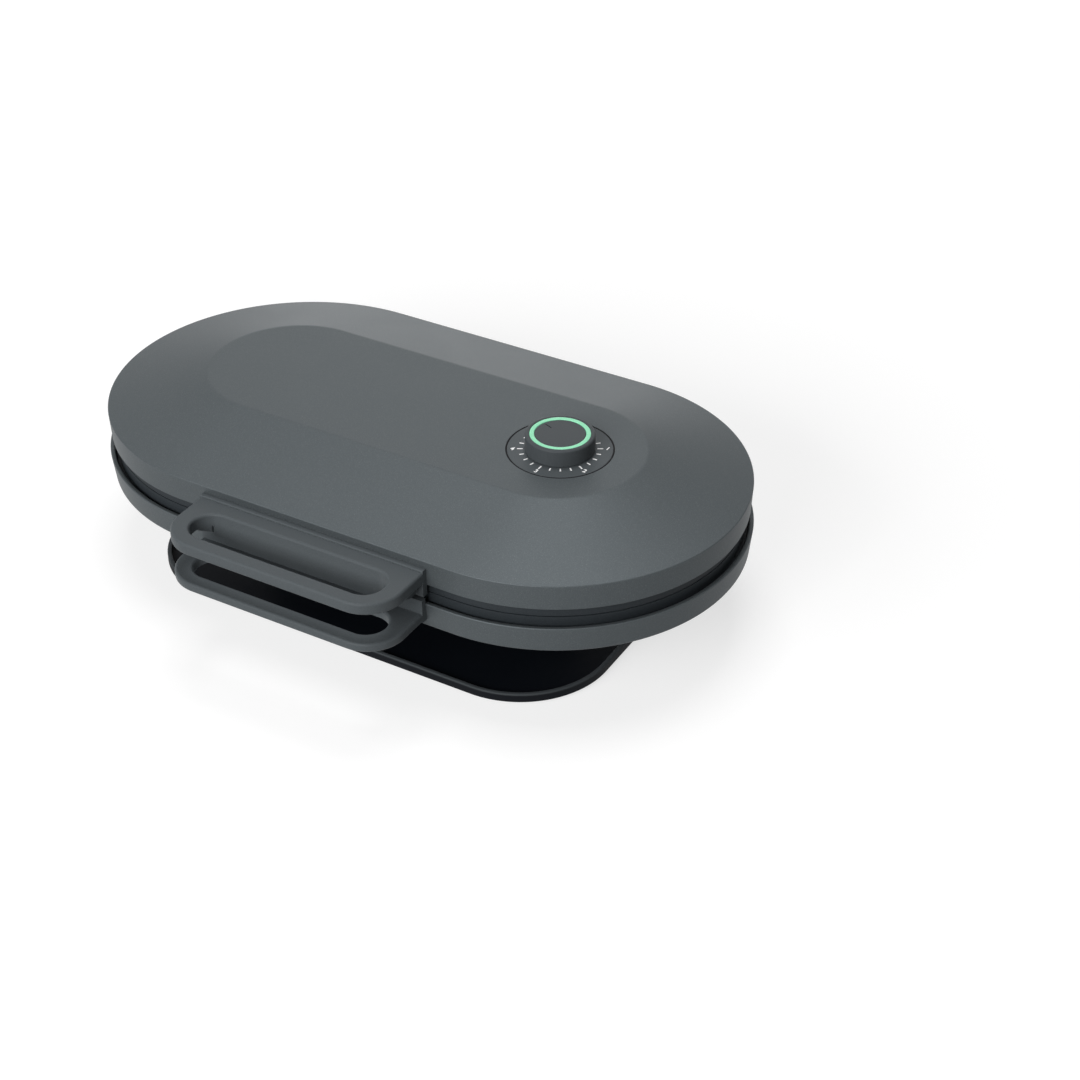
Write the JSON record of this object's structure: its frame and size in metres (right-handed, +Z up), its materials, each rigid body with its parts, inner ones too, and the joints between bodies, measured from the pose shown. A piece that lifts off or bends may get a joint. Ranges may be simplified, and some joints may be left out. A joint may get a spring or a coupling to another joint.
{
  "type": "double waffle maker",
  "caption": "Oval countertop waffle maker with round heart-waffle plates side by side, a rear-hinged lid with a dial, slotted front handles and a raised stand.",
  "frame": {"origin": "centre of the base plate on the table, under the feet", "axes": "+Z up, X along the oval body, -Y to the front where the handles are"},
  "size_m": [0.433, 0.309, 0.1268],
  "materials": {
    "shell_coat": "fine textured matte coating",
    "handle_plastic": "matte moulded plastic",
    "frame_plastic": "matte moulded plastic",
    "hinge_plastic": "matte moulded plastic",
    "dial_plastic": "matte with printed ticks",
    "knob_plastic": "matte moulded plastic",
    "light_guide": "translucent, lit green",
    "base_plastic": "matte moulded plastic",
    "coated_plate": "dark non-stick coating on cast aluminium",
    "heater_steel": "tubular sheath",
    "fastener_steel": "zinc plated",
    "inner_plastic": "heat resistant moulding",
    "circuit_board": "solder mask",
    "rubber": "matte"
  },
  "bodies": {
    "base": {"lower_housing": "shell_coat", "lower_frame": "frame_plastic", "lower_plate_left": "coated_plate", "lower_plate_right": "coated_plate", "lower_heater_left": "heater_steel", "lower_heater_right": "heater_steel", "lower_plate_screws": "fastener_steel", "housing_screws": "fastener_steel", "thermal_fuse": "inner_plastic", "terminal_block": "inner_plastic", "lower_handle": "handle_plastic", "lower_handle_screws": "fastener_steel", "hinge_bracket_left": "hinge_plastic", "hinge_bracket_right": "hinge_plastic", "hinge_pin_left": "fastener_steel", "hinge_pin_right": "fastener_steel", "pedestal": "base_plastic", "pedestal_screws": "fastener_steel", "base_plate": "base_plastic", "base_screws": "fastener_steel", "feet": "rubber", "cord_gland": "rubber"},
    "lid": {"lid_cover": "shell_coat", "upper_frame": "frame_plastic", "upper_plate_left": "coated_plate", "upper_plate_right": "coated_plate", "upper_heater_left": "heater_steel", "upper_heater_right": "heater_steel", "hinge_arm_left": "hinge_plastic", "hinge_arm_right": "hinge_plastic", "upper_plate_screws": "fastener_steel", "lid_screws": "fastener_steel", "dial_plate": "dial_plastic", "thermostat": "inner_plastic", "thermostat_nut": "fastener_steel", "indicator_board": "circuit_board", "upper_handle": "handle_plastic", "upper_handle_screws": "fastener_steel"},
    "knob": {"knob_grip": "knob_plastic", "light_ring": "light_guide", "knob_cap": "knob_plastic", "knob_shaft": "fastener_steel"}
  },
  "joints": [
    {"name": "lid_hinge", "type": "hinge", "parent": "base", "child": "lid", "pos_m": [0, 0.133, 0.075], "axis": [-1, 0, 0], "range_deg": [0, 100]},
    {"name": "knob_turn", "type": "hinge", "parent": "lid", "child": "knob", "pos_m": [0.0985, 0, 0.1157], "axis": [0, 0, 1], "range_deg": [0, 240]}
  ]
}
